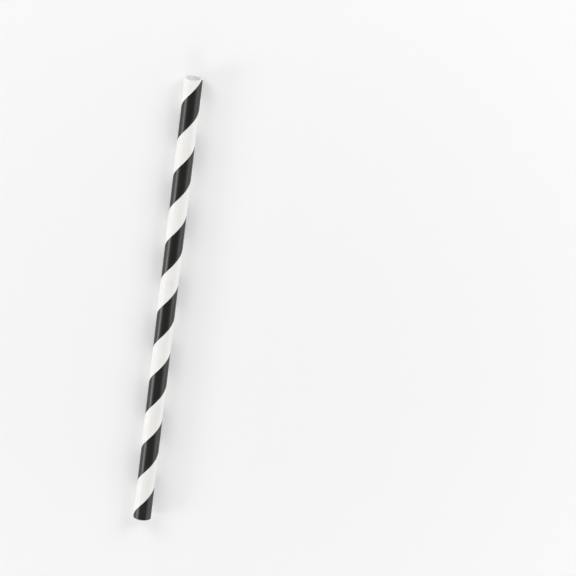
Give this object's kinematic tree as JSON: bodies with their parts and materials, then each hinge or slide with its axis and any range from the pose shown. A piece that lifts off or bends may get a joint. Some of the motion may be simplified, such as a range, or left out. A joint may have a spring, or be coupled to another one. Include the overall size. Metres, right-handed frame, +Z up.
{
  "type": "paper drinking straw",
  "caption": "Round paper drinking straw, spirally wound from strips, with a two-tone helical stripe and square-cut open ends.",
  "frame": {"origin": "under the middle of the straw, on the surface it lies on", "axes": "+X along the straw towards the end that was uppermost in the picture, +Z up from the surface it lies on"},
  "size_m": [0.157, 0.006, 0.006],
  "materials": {
    "striped_paper": "smooth satin paper, white, with a black printed stripe half as wide as the strip"
  },
  "bodies": {
    "root": {"paper_tube": "striped_paper"}
  },
  "joints": []
}
